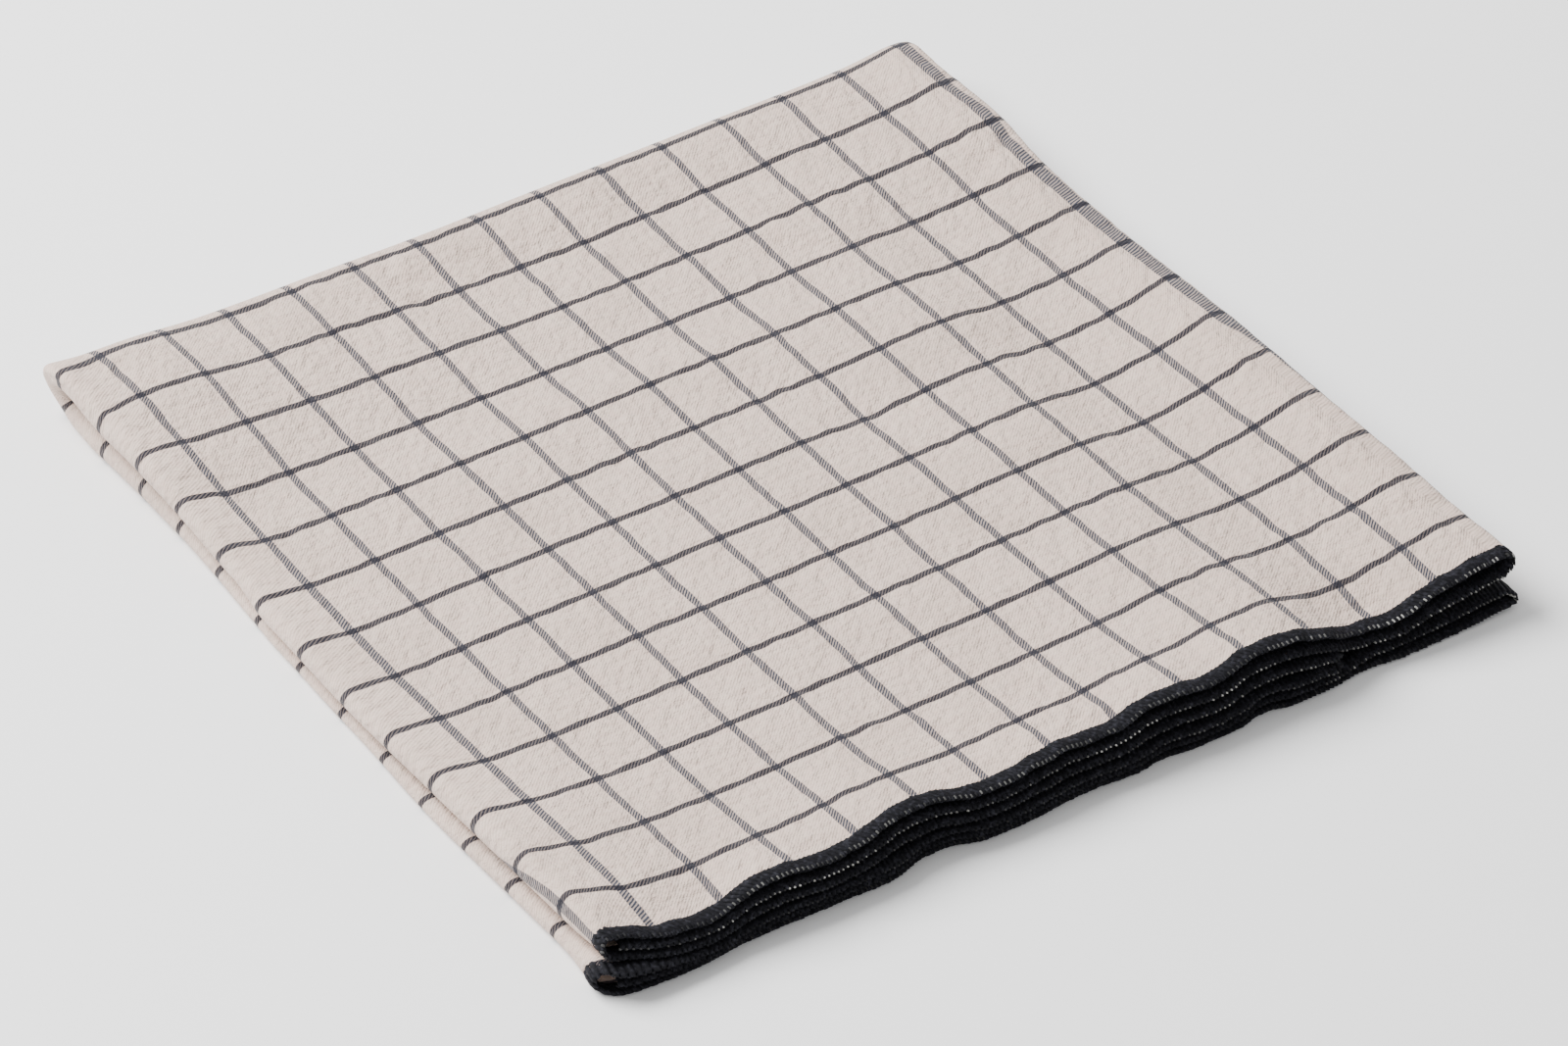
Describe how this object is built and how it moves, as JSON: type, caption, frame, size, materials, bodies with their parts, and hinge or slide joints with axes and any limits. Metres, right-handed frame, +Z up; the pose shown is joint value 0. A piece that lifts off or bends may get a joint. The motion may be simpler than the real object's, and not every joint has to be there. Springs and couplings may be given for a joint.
{
  "type": "tea towel",
  "caption": "Cotton twill tea towel with a windowpane check and black overlocked edges, folded in thirds and then in half into a flat square pad.",
  "frame": {"origin": "middle of the folded towel's outline, on the surface that it lies on", "axes": "X runs along the black front edges, left to right; Y runs from the front edges to the rear fold; Z is up"},
  "size_m": [0.2478, 0.253, 0.0187],
  "materials": {
    "cream_cotton": "matte",
    "black_thread": "matte"
  },
  "bodies": {
    "root": {"towel_cloth": "cream_cotton", "edging_upper": "black_thread", "edging_lower": "black_thread"}
  },
  "joints": []
}
